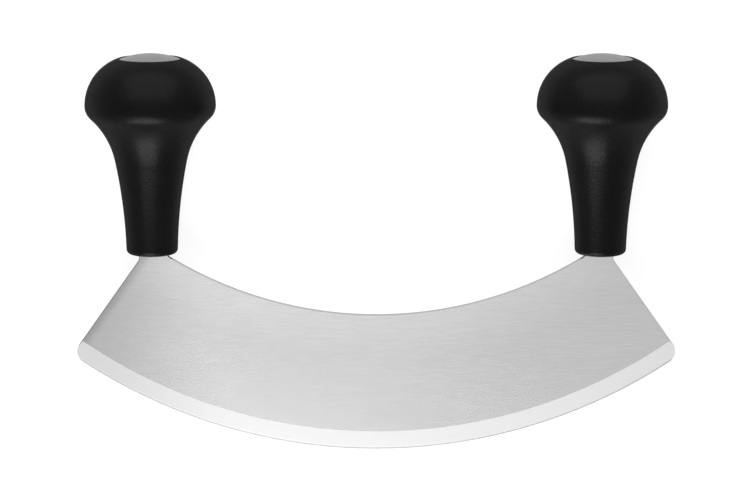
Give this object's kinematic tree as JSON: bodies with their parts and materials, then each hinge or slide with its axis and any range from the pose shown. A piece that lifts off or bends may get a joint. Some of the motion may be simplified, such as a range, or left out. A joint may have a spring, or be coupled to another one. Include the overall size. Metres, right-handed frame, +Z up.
{
  "type": "mezzaluna",
  "caption": "Curved stainless steel chopping blade with a flat tang up into a black moulded knob handle at each end, each knob closed by a grey domed cap.",
  "frame": {"origin": "bottom centre of the part's box, as it lies on a table on the lowest point of its cutting edge and on both knobs", "axes": "+X along the blade to the right, +Y from the cutting edge towards the tops of the knobs, +Z up from the table"},
  "size_m": [0.2296, 0.1514, 0.0494],
  "materials": {
    "blade_steel": "fine brushed grain along the blade, ground bevel brighter",
    "grip_black": "satin black moulding with a very fine texture",
    "core_black": "plain moulded, hidden",
    "washer_steel": "plain stamped, hidden",
    "cap_grey": "smooth satin grey"
  },
  "bodies": {
    "root": {"blade": "blade_steel", "left_grip": "grip_black", "right_grip": "grip_black", "left_core": "core_black", "right_core": "core_black", "left_washer": "washer_steel", "right_washer": "washer_steel", "left_cap": "cap_grey", "right_cap": "cap_grey"}
  },
  "joints": []
}
